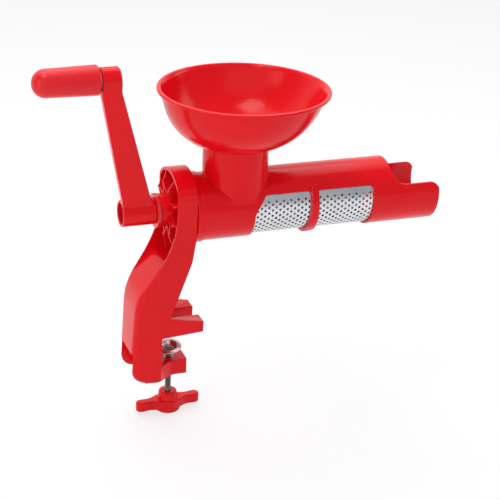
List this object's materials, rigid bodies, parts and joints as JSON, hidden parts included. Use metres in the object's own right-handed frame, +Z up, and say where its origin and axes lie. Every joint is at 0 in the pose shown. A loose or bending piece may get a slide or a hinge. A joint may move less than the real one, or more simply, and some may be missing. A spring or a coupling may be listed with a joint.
{
  "type": "tomato strainer",
  "caption": "Hand-cranked tomato strainer with a round hopper, a screened barrel with an auger inside, an outlet trough and a table clamp stand.",
  "frame": {"origin": "on the clamp screw's axis, at the underside of the upper jaw, where it rests on the table top", "axes": "+X along the barrel towards the outlet, +Z up"},
  "size_m": [0.405, 0.1644, 0.3697],
  "materials": {
    "gloss_red": "glossy moulded",
    "matte_red": "satin moulded",
    "steel": "satin stainless or zinc",
    "chrome": "bright plated",
    "nylon": "natural nylon",
    "rubber": "matt"
  },
  "bodies": {
    "stand": {"clamp_stand": "gloss_red", "body_housing": "gloss_red", "strainer_screen": "steel", "outlet_ring": "gloss_red", "shaft_bush": "nylon", "shaft_seal": "rubber", "thrust_washer": "steel", "clamp_nut": "steel"},
    "hopper": {"hopper_funnel": "gloss_red"},
    "crank": {"crank_arm": "gloss_red", "crank_disc": "nylon", "crank_screw": "steel", "screw_washer": "steel", "drive_shaft": "steel", "auger": "nylon", "auger_spring": "steel", "grip_axle": "steel", "grip_washer": "nylon"},
    "grip": {"grip": "matte_red"},
    "pad": {"clamp_pad": "chrome"},
    "screw": {"clamp_screw": "steel", "wing_knob": "gloss_red", "pad_clip": "steel", "pad_collar": "steel"}
  },
  "joints": [
    {"name": "crank_spin", "type": "hinge", "parent": "stand", "child": "crank", "pos_m": [0, 0, 0.125], "axis": [1, 0, 0], "continuous": true},
    {"name": "grip_spin", "type": "hinge", "parent": "crank", "child": "grip", "pos_m": [-0.107, -0.01948, 0.26364], "axis": [1, 0, 0], "continuous": true},
    {"name": "hopper_lift", "type": "slide", "parent": "stand", "child": "hopper", "axis": [0, 0, 1], "range_m": [0, 0.05]},
    {"name": "clamp_travel", "type": "slide", "parent": "stand", "child": "pad", "axis": [0, 0, 1], "range_m": [-0.005, 0.017]},
    {"name": "clamp_turn", "type": "hinge", "parent": "pad", "child": "screw", "pos_m": [0, 0, -0.06], "axis": [0, 0, 1], "range_deg": [-1801, 6121]}
  ],
  "couplings": [
    {"joint": "clamp_turn", "follows": "clamp_travel", "rad_per_m": 6283.2}
  ]
}
